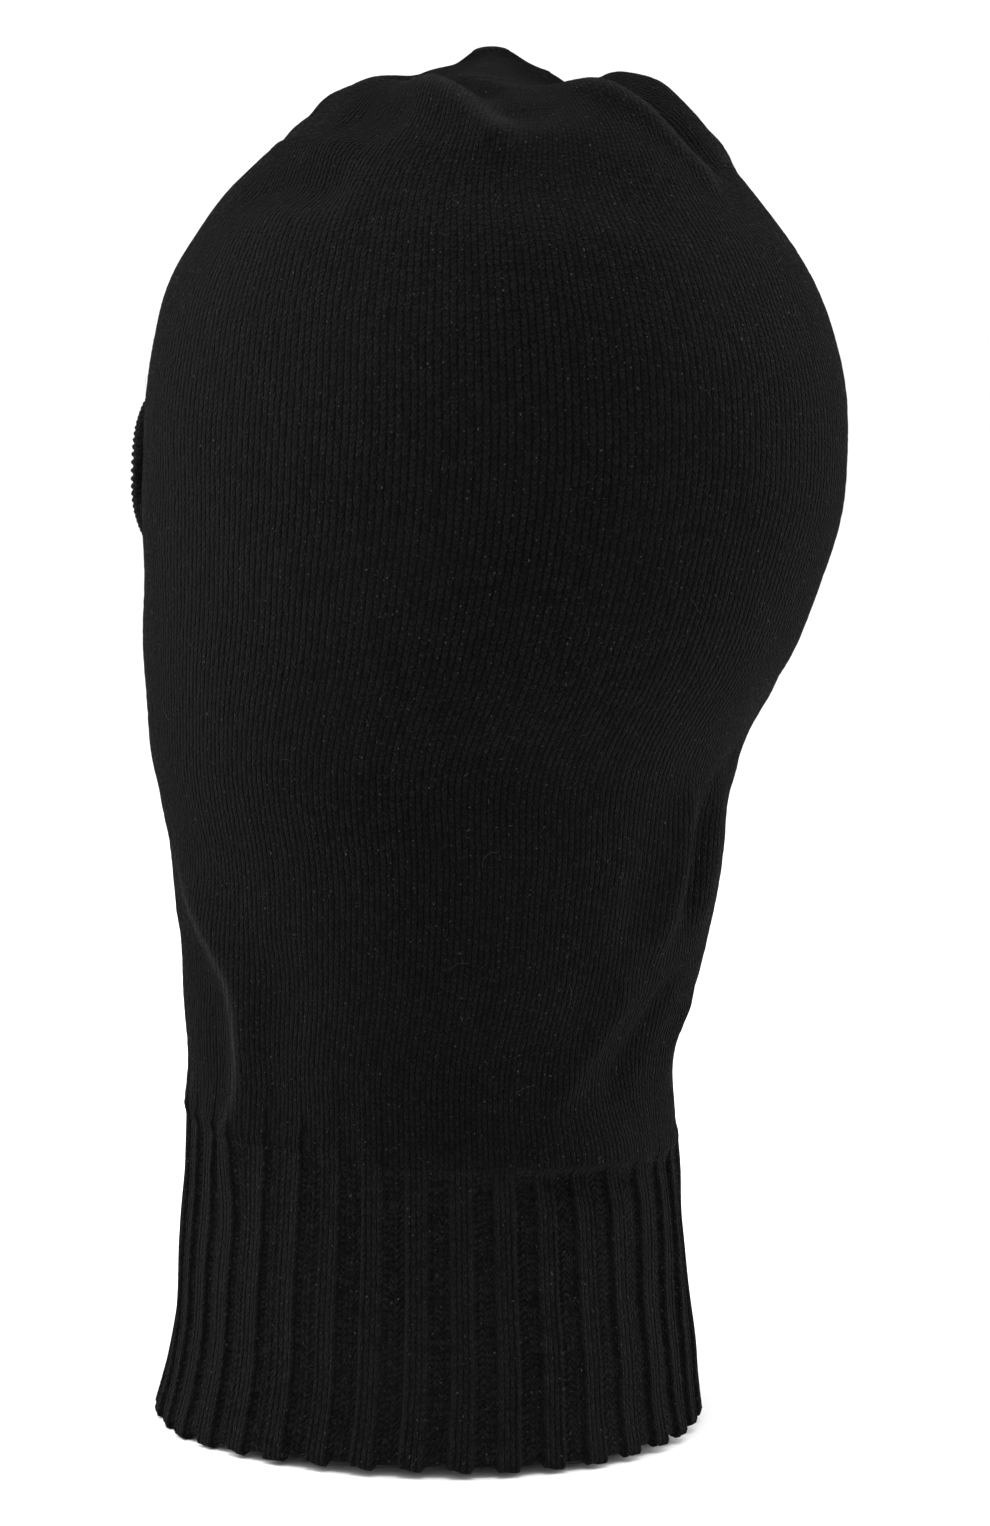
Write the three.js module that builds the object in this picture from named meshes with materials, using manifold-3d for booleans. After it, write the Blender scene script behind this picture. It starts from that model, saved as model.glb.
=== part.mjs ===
// A fine-knit balaclava in the shape it takes on a head: a ribbed neck, a jersey hood with one eye
// opening, and a crown of four gores drawn together at the tip. Millimetres, +Z up. The face looks
// along -Y and the wearer's left is +X. The origin is the middle of the head, at its widest girth.
import * as THREE from 'three';
import { mergeVertices } from 'three/addons/utils/BufferGeometryUtils.js';
import Module from 'manifold-3d';

const wasm = await Module();
wasm.setup();

// Driving dimensions. Heights are measured up from the hem.
const HEAD_LEVEL = 260; // the head's widest girth, where the origin is
const CROWN_BASE = 310; // where the hood starts to narrow into gores
const GAP = 0.3; // clearance between pieces that touch
const JERSEY_WALL = 2.2;
const RIB_WALL = 3.4;
const RIB_PROUD = 0.4; // the raised ribs stand this far outside the jersey
const RIB_HEIGHT = 78;
const RIB_TILT = 6; // the rib's upper edge is this much higher at the front, and lower at the back
const GATHER_RADIUS = 4.4; // the drawn-in end of the crown
const EYE = { height: 254, halfWidth: 36, halfHeight: 16 }; // an oval
const TRIM = { width: 9, proud: 3.4, wall: 5.6 };
const SEAM = { width: 3, depth: 1.6, gap: 1.1 }; // a ridge of linked stitches, clear of the facets
const BRAND_LABEL = { width: 50, height: 20, wall: 0.8, low: 133 };
const CARE_LABEL = { width: 24, height: 38, wall: 0.7 };
const THREAD = 0.7;

// The cloth's outer girth: height, half width, half depth, and how far back its middle lies.
const GIRTHS = [
  [0, 69, 75.2, -20.7],
  [22, 65.6, 72.1, -19.5],
  [49, 63, 69.5, -19.6],
  [79, 61.5, 67.3, -19.4],
  [102, 62.3, 67.7, -19.3],
  [128, 65.5, 72.8, -16],
  [155, 68.6, 76.1, -14.7],
  [181, 72, 81.2, -15.4],
  [207, 76, 90.6, -8.2],
  [234, 79.3, 95.8, -2.4],
  [260, 81, 97.8, 0.5],
  [287, 78.5, 95.1, 0.1],
  [310, 71, 86.2, -1.1],
  [328, 59.9, 71.9, -1.5],
  [342, 48.7, 58.5, 1.8],
  [353, 38, 45, 3.3],
  [358.6, 27, 32.5, 3.4],
  [359.5, 17, 21, 2.4],
  [361.4, 9.5, 11.5, 1.2],
  [364, 4.4, 4.8, 0.5],
];

// Lines down the crown along which the cloth dips: azimuth in degrees, depth, half width, and the
// radii at which the dip starts, is full, starts to fade and has gone. The first four lie where two
// gores meet. The last is the flank that runs straight up to the tip.
const CROWN_DIPS = [
  [0, 6.5, 10, 4, 25, 50, 88],
  [90, 2, 10, 4, 25, 6, 44],
  [180, 5.5, 10, 4, 25, 42, 80],
  [270, 6.5, 10, 4, 25, 50, 88],
  [131, 5.5, 14, 12, 28, 42, 58],
];

const CLOTH = { color: 0x19181a, roughness: 0.95, metalness: 0 };
const YARN = { color: 0x141314, roughness: 0.9, metalness: 0 };
const WOVEN = { color: 0x1d1d1f, roughness: 0.6, metalness: 0 };
const SATIN = { color: 0xd9d7d0, roughness: 0.4, metalness: 0 };

const QUARTER = Math.PI / 2;
const BACK = Math.PI;
const { degToRad, euclideanModulo, lerp, smoothstep } = THREE.MathUtils;

// A smooth curve through the girths; step 2.5 is half way from the third girth to the fourth.
function girthAt(step) {
  const last = GIRTHS.length - 1;
  const i = Math.min(Math.floor(step), last - 1);
  const t = step - i;
  const [p, q, r, s] = [i - 1, i, i + 1, i + 2].map((k) => GIRTHS[Math.min(Math.max(k, 0), last)]);
  return q.map((_, n) => 0.5 * (2 * q[n] + (r[n] - p[n]) * t
    + (2 * p[n] - 5 * q[n] + 4 * r[n] - s[n]) * t * t
    + (3 * q[n] - p[n] - 3 * r[n] + s[n]) * t * t * t));
}

// The step at which the cloth reaches a height, for heights below the crown's top.
function stepAt(height) {
  let low = 0;
  let high = GIRTHS.length - 5;
  while (high - low > 1e-5) {
    const middle = (low + high) / 2;
    if (girthAt(middle)[0] < height) low = middle;
    else high = middle;
  }
  return low;
}

// How far the cloth is drawn in on the crown.
function crownDip(azimuth, radius) {
  return CROWN_DIPS.reduce((dip, [line, depth, width, start, full, fade, gone]) => {
    const away = (euclideanModulo(azimuth - degToRad(line) + Math.PI, 2 * Math.PI) - Math.PI) * radius;
    const reach = smoothstep(radius, start, full) * (1 - smoothstep(radius, fade, gone));
    return dip + depth * reach * Math.exp(-((away / width) ** 2));
  }, 0);
}

function plainPoint(azimuth, step) {
  const [height, halfWidth, halfDepth, middle] = girthAt(step);
  const x = halfWidth * Math.sin(azimuth);
  return new THREE.Vector3(x, middle - halfDepth * Math.cos(azimuth), height);
}

// A point of the cloth, moved out along its normal by offset. Azimuth 0 is the face.
function clothPoint(azimuth, step, offset) {
  const here = plainPoint(azimuth, step);
  const around = plainPoint(azimuth + 0.01, step).sub(plainPoint(azimuth - 0.01, step));
  const up = plainPoint(azimuth, step + 0.02).sub(plainPoint(azimuth, step - 0.02));
  const normal = around.cross(up).normalize();
  const dip = step > stepAt(CROWN_BASE) - 1 ? crownDip(azimuth, radiusAt(step)) : 0;
  return here.addScaledVector(normal, offset - dip);
}

function radiusAt(step) {
  const [, halfWidth, halfDepth] = girthAt(step);
  return (halfWidth + halfDepth) / 2;
}

function ribTop(azimuth) {
  return RIB_HEIGHT + RIB_TILT * Math.cos(azimuth);
}

// A closed solid between two sheets of points. across and up count its facets, and outer and inner
// give a point for two numbers from 0 to 1. A ring closes on itself across.
function sheetSolid({ across, up, ring, outer, inner }) {
  const columns = ring ? across : across + 1;
  const points = [outer, inner].flatMap((side) =>
    Array.from({ length: columns * (up + 1) }, (_, k) =>
      side((k % columns) / across, Math.floor(k / columns) / up)));
  const faces = [];
  const out = (i, j) => (i % columns) + j * columns;
  const into = (i, j) => out(i, j) + columns * (up + 1);
  const quad = (a, b, c, d) => faces.push(a, b, c, a, c, d);
  for (let i = 0; i < across; i++) {
    for (let j = 0; j < up; j++) {
      quad(out(i, j), out(i + 1, j), out(i + 1, j + 1), out(i, j + 1));
      quad(into(i, j), into(i, j + 1), into(i + 1, j + 1), into(i + 1, j));
    }
    quad(out(i, 0), into(i, 0), into(i + 1, 0), out(i + 1, 0));
    quad(out(i, up), out(i + 1, up), into(i + 1, up), into(i, up));
  }
  for (let j = 0; j < up && !ring; j++) {
    quad(out(0, j), out(0, j + 1), into(0, j + 1), into(0, j));
    quad(out(across, j), into(across, j), into(across, j + 1), out(across, j + 1));
  }
  const geometry = new THREE.BufferGeometry();
  const flat = points.flatMap((p) => [p.x, p.y, p.z]);
  geometry.setAttribute('position', new THREE.Float32BufferAttribute(flat, 3));
  geometry.setIndex(faces);
  return geometry;
}

// A sheet of cloth that follows the hood. azimuth and step are functions of the two numbers.
function clothSolid({ across, up, ring = false, azimuth, step, outside, inside }) {
  const side = (offset) => (s, t) => clothPoint(azimuth(s, t), step(s, t), offset(s, t));
  return sheetSolid({ across, up, ring, outer: side(outside), inner: side(inside) });
}

function toManifold(geometry) {
  const plain = geometry.clone();
  plain.deleteAttribute('normal');
  plain.deleteAttribute('uv');
  const merged = mergeVertices(plain, 1e-4);
  const vertProperties = new Float32Array(merged.attributes.position.array);
  const triVerts = new Uint32Array(merged.index.array);
  return new wasm.Manifold(new wasm.Mesh({ numProp: 3, vertProperties, triVerts }));
}

function fromManifold(solid) {
  const mesh = solid.getMesh();
  const geometry = new THREE.BufferGeometry();
  geometry.setAttribute('position', new THREE.BufferAttribute(mesh.vertProperties, 3));
  geometry.setIndex(new THREE.BufferAttribute(mesh.triVerts, 1));
  return geometry;
}

// A solid the shape of the eye opening, grown by margin all round, running out through the face.
function eyePlug(margin) {
  const outline = Array.from({ length: 36 }, (_, k) => {
    const turn = (k / 36) * 2 * Math.PI;
    const x = (EYE.halfWidth + margin) * Math.cos(turn);
    return new THREE.Vector2(x, (EYE.halfHeight + margin) * Math.sin(turn));
  });
  const plug = new THREE.ExtrudeGeometry(new THREE.Shape(outline), { depth: 100, bevelEnabled: false });
  plug.rotateX(QUARTER);
  plug.translate(0, -30, EYE.height);
  return toManifold(plug);
}

// A stretch of the face between two offsets from the cloth, to be cut to the eye opening's shape.
function facePatch(outside, inside) {
  return toManifold(clothSolid({
    across: 20,
    up: 8,
    azimuth: (s) => lerp(-1.1, 1.1, s),
    step: (s, t) => lerp(stepAt(EYE.height - 45), stepAt(EYE.height + 45), t),
    outside: () => outside,
    inside: () => inside,
  }));
}

// A band that follows the eye opening's edge, from one margin to another.
function eyeBand(from, to, outside, inside) {
  const ring = eyePlug(to).subtract(eyePlug(from));
  return fromManifold(facePatch(outside, inside).intersect(ring));
}

// The neck's hem is cut square, so that it can rest on a table.
function neckRib() {
  const side = (offset) => (s, t) => {
    const azimuth = s * 2 * Math.PI;
    const point = clothPoint(azimuth, stepAt(t * ribTop(azimuth)), offset);
    return t === 0 ? point.setZ(0) : point;
  };
  return sheetSolid({
    across: 44, up: 5, ring: true, outer: side(RIB_PROUD), inner: side(RIB_PROUD - RIB_WALL),
  });
}

function jerseyHood() {
  const tube = clothSolid({
    across: 44,
    up: 18,
    ring: true,
    azimuth: (s) => s * 2 * Math.PI,
    step: (s, t) => lerp(stepAt(ribTop(s * 2 * Math.PI) + GAP), stepAt(CROWN_BASE), t),
    outside: () => 0,
    inside: () => -JERSEY_WALL,
  });
  return fromManifold(toManifold(tube).subtract(eyePlug(TRIM.width + GAP)));
}

// Where the crown's gores end, at the drawn-in tip.
const TIP_STEP = GIRTHS.length - 1;

function crownGore(index) {
  const from = stepAt(CROWN_BASE + GAP);
  const step = (s, t) => lerp(from, TIP_STEP, t);
  return clothSolid({
    across: 9,
    up: 9,
    azimuth: (s, t) => {
      const shy = GAP / 2 / radiusAt(step(s, t));
      return lerp(index * QUARTER + shy, (index + 1) * QUARTER - shy, s);
    },
    step,
    outside: () => 0,
    inside: () => -JERSEY_WALL,
  });
}

// The drawn-in end of the crown: a small blunt cap held by the thread through the last loops.
function crownGather() {
  const [height, , , middle] = girthAt(TIP_STEP);
  const radius = GATHER_RADIUS - GAP;
  const neck = radius - JERSEY_WALL;
  const profile = [
    [0, -JERSEY_WALL - 1.5],
    [neck * 0.7, -JERSEY_WALL - 1],
    [neck * 0.8, -0.5],
    [radius, 0.4],
    [radius * 0.7, 1.1],
    [0, 1.4],
  ].map(([r, z]) => new THREE.Vector2(r, z));
  const cap = new THREE.LatheGeometry(profile, 12);
  cap.rotateX(QUARTER);
  cap.translate(0, middle, height);
  return fromManifold(toManifold(cap));
}

// A ridge of linked stitches on the inside of the cloth, along one azimuth.
function seamRidge({ azimuth, from, to, up, wall }) {
  return clothSolid({
    across: 2,
    up,
    azimuth: (s, t) => azimuth + ((s - 0.5) * SEAM.width) / radiusAt(lerp(from, to, t)),
    step: (s, t) => lerp(from, to, t),
    outside: (s, t) => -wall(lerp(from, to, t)) - SEAM.gap,
    inside: (s, t) => -wall(lerp(from, to, t)) - SEAM.gap - SEAM.depth,
  });
}

function backSeam() {
  const ribEnd = stepAt(ribTop(BACK));
  const wall = (step) => lerp(RIB_WALL - RIB_PROUD, JERSEY_WALL, smoothstep(step, ribEnd + 0.1, ribEnd + 0.4));
  return seamRidge({ azimuth: BACK, from: stepAt(1), to: stepAt(CROWN_BASE - 1), up: 24, wall });
}

function crownSeam(index) {
  const wall = () => JERSEY_WALL;
  return seamRidge({
    azimuth: index * QUARTER, from: stepAt(CROWN_BASE + 1), to: TIP_STEP - 1.4, up: 8, wall,
  });
}

// A woven label across the back seam, which it passes over.
function brandLabel() {
  const radius = radiusAt(stepAt(BRAND_LABEL.low));
  const lift = (s) => {
    const away = Math.abs((s - 0.5) * BRAND_LABEL.width);
    return JERSEY_WALL + SEAM.gap + (SEAM.depth + GAP) * (1 - smoothstep(away, 2.5, 6));
  };
  return clothSolid({
    across: 14,
    up: 2,
    azimuth: (s) => BACK + ((s - 0.5) * BRAND_LABEL.width) / radius,
    step: (s, t) => stepAt(BRAND_LABEL.low + t * BRAND_LABEL.height),
    outside: (s) => -lift(s),
    inside: (s) => -lift(s) - BRAND_LABEL.wall,
  });
}

// The thread that tacks one end of the woven label down, on the label's inner face.
function brandLabelThread(side) {
  const radius = radiusAt(stepAt(BRAND_LABEL.low));
  const middle = BACK + (side * (BRAND_LABEL.width / 2 - 2)) / radius;
  const under = JERSEY_WALL + SEAM.gap + BRAND_LABEL.wall + GAP;
  return clothSolid({
    across: 1,
    up: 4,
    azimuth: (s) => middle + ((s - 0.5) * THREAD) / radius,
    step: (s, t) => stepAt(BRAND_LABEL.low + 1.5 + t * (BRAND_LABEL.height - 3)),
    outside: () => -under,
    inside: () => -under - THREAD,
  });
}

// The folded care label hangs from the woven label's lower edge and leans on the neck's wall.
function careLabel() {
  const label = new THREE.BoxGeometry(CARE_LABEL.width, CARE_LABEL.wall, CARE_LABEL.height);
  label.translate(0, 0, -CARE_LABEL.height / 2);
  return label;
}

function careLabelThread() {
  return new THREE.BoxGeometry(CARE_LABEL.width - 4, THREAD, THREAD);
}

const hood = new THREE.Group();
hood.position.z = -HEAD_LEVEL;

function add(name, geometry, finish) {
  const mesh = new THREE.Mesh(geometry, new THREE.MeshStandardMaterial(finish));
  mesh.name = name;
  hood.add(mesh);
  return mesh;
}

add('neck_rib', neckRib(), CLOTH);
add('jersey_hood', jerseyHood(), CLOTH);
['front_left', 'back_left', 'back_right', 'front_right'].forEach((side, index) => {
  add(`crown_gore_${side}`, crownGore(index), CLOTH);
});
['front', 'left', 'back', 'right'].forEach((side, index) => {
  add(`crown_seam_${side}`, crownSeam(index), YARN);
});
add('crown_gather', crownGather(), YARN);
add('back_seam', backSeam(), YARN);
add('eye_trim', eyeBand(0, TRIM.width, TRIM.proud, TRIM.proud - TRIM.wall), CLOTH);
const TRIM_BACK = TRIM.proud - TRIM.wall - GAP;
add('eye_trim_seam', eyeBand(TRIM.width - 4, TRIM.width - 1, TRIM_BACK, TRIM_BACK - SEAM.depth), YARN);
add('brand_label', brandLabel(), WOVEN);
add('brand_label_thread_left', brandLabelThread(-1), YARN);
add('brand_label_thread_right', brandLabelThread(1), YARN);

// The care label turns about its upper edge, just under the woven label, and leans on the back seam.
const LABEL_TOP = BRAND_LABEL.low - 1.5; // room for the fold that it turns on
function seamFace(height) {
  return clothPoint(BACK, stepAt(height), -JERSEY_WALL - SEAM.gap - SEAM.depth - GAP).y;
}
const careHinge = new THREE.Vector3(0, seamFace(LABEL_TOP) - CARE_LABEL.wall, LABEL_TOP);
const leans = Array.from({ length: CARE_LABEL.height / 2 }, (_, k) => {
  const drop = 2 * (k + 1);
  return Math.atan2(careHinge.y + CARE_LABEL.wall - seamFace(LABEL_TOP - drop), drop);
});
const care = add('care_label', careLabel(), SATIN);
care.position.copy(careHinge);
care.rotation.x = -Math.max(...leans);
const tack = add('care_label_thread', careLabelThread(), YARN);
tack.position.set(0, careHinge.y - CARE_LABEL.wall / 2 - THREAD, BRAND_LABEL.low + 1.5);

export default hood;
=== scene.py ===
import math
from collections import namedtuple

import bpy
import numpy as np
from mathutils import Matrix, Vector


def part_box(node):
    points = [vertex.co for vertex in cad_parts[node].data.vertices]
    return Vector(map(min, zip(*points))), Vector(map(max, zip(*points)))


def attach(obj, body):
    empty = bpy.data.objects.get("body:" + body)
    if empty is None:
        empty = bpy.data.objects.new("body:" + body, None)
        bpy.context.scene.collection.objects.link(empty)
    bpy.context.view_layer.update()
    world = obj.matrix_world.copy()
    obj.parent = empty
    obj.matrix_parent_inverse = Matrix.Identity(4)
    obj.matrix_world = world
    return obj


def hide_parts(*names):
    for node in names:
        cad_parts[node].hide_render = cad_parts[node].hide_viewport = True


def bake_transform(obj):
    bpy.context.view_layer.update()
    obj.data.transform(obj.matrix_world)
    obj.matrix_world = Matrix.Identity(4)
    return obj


MM = 0.001

# The cloth's shape as worn. The girths are the CAD source's. Heights are measured up from the hem.
GIRTHS = np.array([  # height, half width, half depth, how far back the middle lies
    (0, 69, 75.2, -20.7), (22, 65.6, 72.1, -19.5), (49, 63, 69.5, -19.6), (79, 61.5, 67.3, -19.4),
    (102, 62.3, 67.7, -19.3), (128, 65.5, 72.8, -16), (155, 68.6, 76.1, -14.7), (181, 72, 81.2, -15.4),
    (207, 76, 90.6, -8.2), (234, 79.3, 95.8, -2.4), (260, 81, 97.8, 0.5), (287, 78.5, 95.1, 0.1),
    (310, 71, 86.2, -1.1), (328, 59.9, 71.9, -1.5), (342, 48.7, 58.5, 1.8), (353, 38, 45, 3.3),
    (358.6, 27, 32.5, 3.4), (359.5, 17, 21, 2.4), (361.4, 9.5, 11.5, 1.2), (364, 4.4, 4.8, 0.5),
])
LAST_GIRTH = len(GIRTHS) - 1
CROWN_BASE = 310
GORES = 4
JERSEY_WALL = 2.2
RIB_WALL = 3.4
RIB_PROUD = 0.4
RIB_HEIGHT = 79.5
RIB_TILT = 4
DART_WIDTH = 10
EYE_HEIGHT = 254
EYE_HALF = (36, 16)
TRIM_WIDTH = 9
TRIM_PROUD = 3.4
TRIM_WALL = 5.6
SEAM_DEPTH = 1.6
SEAM_GAP = 1.1
YARN_RADIUS = 0.42
TRIM_YARN_RADIUS = 0.38
BRAND_THREAD_RADIUS = 0.22
CARE_THREAD_RADIUS = 0.2
BRAND_LABEL = (50, 20)
BRAND_LABEL_LOW = 133
CARE_LABEL = (24, 38)
CARE_LABEL_BOW = 3.2  # how far the care label bows out over the back seam

# The knitting.
WALES = 288  # stitch columns round the hood
RIB_PERIOD = 8  # four knit columns and four purl ones
WALE_RELIEF = 0.18  # how deep the groove between two stitch columns is
STITCH_UNEVEN = 0.16  # how much higher one stitch lies than the next
RIB_RELIEF = 1.5  # how deep the purl columns lie between the knit ones
EDGE_WALE = 0.3  # how much the outermost knit columns of a rib stand up
HEM_DROP = 1.6  # how much lower the hem hangs at its lowest, on the left, than at its highest
HEM_DROP_BEHIND = 0.8
HEM_SCALLOP = 1.5  # how far a knit rib pokes down at the hem
HEM_CURL = 1.1  # how far the hem turns outwards
HEM_ROUND = 1.7  # height of the hem's rounded edge
FINE_COLUMNS = 3  # mesh columns to a stitch column, outside

# Folds of the worn cloth: a line of (azimuth in degrees, height), how far the cloth stands out along it,
# and how far that reaches to the left and to the right of the line, looking at it along its course.
FOLDS = [
    # in front of the ear, from the jaw down into the rib, with the slack beside it
    ([(44, 152), (54, 145), (61.5, 138), (67, 131), (72, 123), (74, 113), (74, 102), (73, 91), (69, 76),
      (62, 58)], 3, 10, 5),
    ([(42, 138), (55, 127), (63, 115), (64, 98), (59, 80)], -1.2, 7, 7),
    ([(84, 140), (86, 118), (82, 98), (78, 86)], -1.3, 12, 10),
    # at the nape, two soft ridges one below the other, and the hollows beside them
    ([(180, 180), (179, 166), (177.5, 150), (176, 138), (173, 126)], 2.6, 4, 5),
    ([(173, 126), (167, 119), (162, 108), (156, 98), (150, 88)], 2.6, 4, 6),
    ([(189, 178), (189, 164), (187, 146), (186, 132)], -2.2, 4, 4),
    ([(186, 128), (180, 114), (174, 102), (164, 90)], -2.4, 5, 4),
    ([(166, 172), (167, 156), (166, 140), (162, 128)], -0.9, 5, 5),
    ([(206, 180), (196, 178), (186, 176)], -1.3, 4, 4),
    # the same slack on the wearer's right side
    ([(-48, 146), (-58, 138), (-66, 128), (-70, 115), (-69, 96), (-64, 80)], 2.9, 7, 12),
    ([(-41, 136), (-54, 126), (-59, 112), (-58, 92)], -2.1, 8, 7),
    ([(-168, 178), (-165, 158), (-169, 132)], 1.5, 6, 6),
    ([(-158, 120), (-164, 104), (-170, 92)], 1.4, 6, 5),
    ([(-176, 172), (-173, 146), (-177, 128)], -0.8, 6, 6),
    ([(212, 204), (214, 194), (214, 178), (212, 164)], 1.5, 9, 12),
    # fullness at the cheek
    ([(34, 172), (36, 156), (38, 142), (38, 126)], 0.9, 10, 9),
    # the face: the nose under the band, the chin, and the hollow of the throat
    ([(0, 236), (0, 226), (0, 212), (0, 198)], 4.2, 12, 12),
    ([(-16, 168), (0, 164), (16, 168)], 2.6, 13, 13),
    ([(-22, 138), (0, 132), (22, 138)], -2.2, 12, 14),
    ([(-38, 118), (-14, 112), (10, 116), (34, 106)], 1.2, 5, 6),
]

# Ridges of the crown's left and right lobes. Each point is an azimuth and a distance from the tip.
LEFT_RIDGE = [(78, 37), (90, 39), (104, 43), (115, 49), (124, 55), (129, 62)]
RIGHT_RIDGE = [(146, 30), (152, 37), (159, 43), (166, 49), (172, 56), (178, 63), (181, 72)]

# Puckers of the crown: as the folds, but with points as in those ridges.
PUCKERS = [
    # the flank that faces back left runs straight up to the tip
    ([(152, 12), (140, 22), (133, 32), (130, 42), (130, 56)], -5.5, 14, 14),
    # the left lobe: the valley between it and the tip, the ridge beside that, and the face below the ridge
    ([(22, 23), (40, 25), (56, 27.5), (72, 29), (88, 29.5), (102, 32), (114, 38), (122, 48)], -4.8, 5, 5),
    (LEFT_RIDGE, 3.4, 4, 8),
    ([(66, 48), (80, 50), (96, 54)], -2.2, 8, 8),
    ([(16, 48), (34, 50), (50, 52), (62, 54)], -2, 9, 8),
    ([(40, 57), (56, 57), (74, 57), (90, 59)], 2.2, 4, 5),
    ([(52, 67), (66, 66), (80, 66), (94, 67)], -3, 6, 7),
    # the right lobe, the ridge this side of it, and the hollow between it and the tip
    (RIGHT_RIDGE, 3.4, 8, 3.5),
    ([(190, 38), (206, 42), (224, 44)], 2, 8, 12),
    ([(168, 34), (176, 40), (182, 48), (187, 58), (189, 68)], -2.2, 4, 5),
    ([(164, 15), (186, 19.5), (208, 22), (230, 22.5), (252, 22.5), (276, 22)], -4.6, 6, 5),
    # the side that isn't seen
    ([(-40, 50), (-62, 54), (-84, 50)], 1.8, 5, 7),
    ([(-118, 42), (-136, 52), (-150, 64)], 1.8, 6, 6),
    ([(12, 56), (28, 48), (40, 40)], 1.5, 6, 5),
]
DARTS = [  # azimuth in degrees, depth, radius where it has gone
    (0, 6.5, 88), (90, 2, 44), (180, 5.5, 80), (270, 6.5, 88),
]

# Sharp edges of folds, where a painted highlight lies along the crest: the line, whether its points are by
# radius as a pucker's are, how strongly, and how wide.
CREST_HIGHLIGHTS = [
    ([(40, 156), (54, 145), (61.5, 138), (67, 131), (72, 123), (74, 113), (74, 102), (73, 91), (69, 76)],
     False, 1, 1.3),
    ([(64, 34), *LEFT_RIDGE], True, 0.5, 2.6),
    (RIGHT_RIDGE, True, 0.5, 2.6),
]

SLACK = [  # slow unevenness of the cloth: waves round, waves up, phase, height
    (3, 1.7, 0.4, 0.28), (5, -1.1, 1.9, 0.22), (7, 2.6, 4.1, 0.16), (11, 3.9, 0.7, 0.1), (2, 5.2, 2.6, 0.18),
]

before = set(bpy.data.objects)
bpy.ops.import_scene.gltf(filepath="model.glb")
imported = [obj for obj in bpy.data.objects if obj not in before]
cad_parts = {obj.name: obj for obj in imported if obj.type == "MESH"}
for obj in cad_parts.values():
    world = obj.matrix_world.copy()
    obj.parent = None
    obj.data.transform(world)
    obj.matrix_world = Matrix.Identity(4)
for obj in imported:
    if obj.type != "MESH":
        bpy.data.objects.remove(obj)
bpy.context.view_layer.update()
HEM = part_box("neck_rib")[0].z / MM

Side = namedtuple("Side", "points uv purl")


# ---------------------------------------------------------------- the cloth's surface


def smoothstep(value, low, high):
    t = np.clip((value - low) / (high - low), 0, 1)
    return t * t * (3 - 2 * t)


def unit(vectors):
    return vectors / (np.linalg.norm(vectors, axis=-1, keepdims=True) + 1e-12)


def girth(step):
    """Height, half width, half depth and middle at a step. 2.5 is half way from the third girth on."""
    i = np.clip(np.floor(step).astype(int), 0, LAST_GIRTH - 1)
    t = (step - i)[..., None]
    p, q, r, s = (GIRTHS[np.clip(i + k, 0, LAST_GIRTH)] for k in (-1, 0, 1, 2))
    curve = 2 * q + (r - p) * t + (2 * p - 5 * q + 4 * r - s) * t**2 + (3 * q - p - 3 * r + s) * t**3
    return np.moveaxis(curve / 2, -1, 0)


STEPS = np.linspace(0, LAST_GIRTH, 6001)
STEP_GIRTHS = girth(STEPS)
RISING = STEPS <= LAST_GIRTH - 4
MEAN_RADIUS = (STEP_GIRTHS[1] + STEP_GIRTHS[2]) / 2
ARC = np.concatenate([[0], np.cumsum(np.hypot(np.diff(STEP_GIRTHS[0]), np.diff(MEAN_RADIUS)))])


def step_at(height):
    return np.interp(height, STEP_GIRTHS[0][RISING], STEPS[RISING])


def step_at_radius(radius):
    """The step at which the crown has narrowed to a radius."""
    crown = STEPS > 12
    return np.interp(-radius, -MEAN_RADIUS[crown], STEPS[crown])


def radius_at(step):
    return np.interp(step, STEPS, MEAN_RADIUS)


def arc_at(step):
    """Length of cloth from the hem up to a step."""
    return np.interp(step, STEPS, ARC)


def step_along(arc):
    return np.interp(arc, ARC, STEPS)


def plain_point(azimuth, step):
    """A point of the smooth shape. Azimuth 0 is the face, and 90 degrees the wearer's left."""
    azimuth, step = np.broadcast_arrays(azimuth, step)
    height, half_width, half_depth, middle = girth(step)
    x = half_width * np.sin(azimuth)
    return np.stack([x, middle - half_depth * np.cos(azimuth), height], axis=-1)


def plain_normal(azimuth, step):
    around = plain_point(azimuth + 0.01, step) - plain_point(azimuth - 0.01, step)
    up = plain_point(azimuth, np.minimum(step + 0.02, LAST_GIRTH)) - plain_point(azimuth, step - 0.02)
    return unit(np.cross(around, up))


def dart_dip(azimuth, step):
    """How far the cloth is drawn in near the four lines where the gores meet."""
    radius = radius_at(step)
    total = 0
    for line, depth, gone in DARTS:
        away = (azimuth - math.radians(line) + math.pi) % (2 * math.pi) - math.pi
        reach = smoothstep(radius, 4, 25) * (1 - smoothstep(radius, gone - 38, gone))
        total = total + depth * reach * np.exp(-((away * radius / DART_WIDTH) ** 2))
    return total * (step > step_at(CROWN_BASE) - 1)


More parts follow.
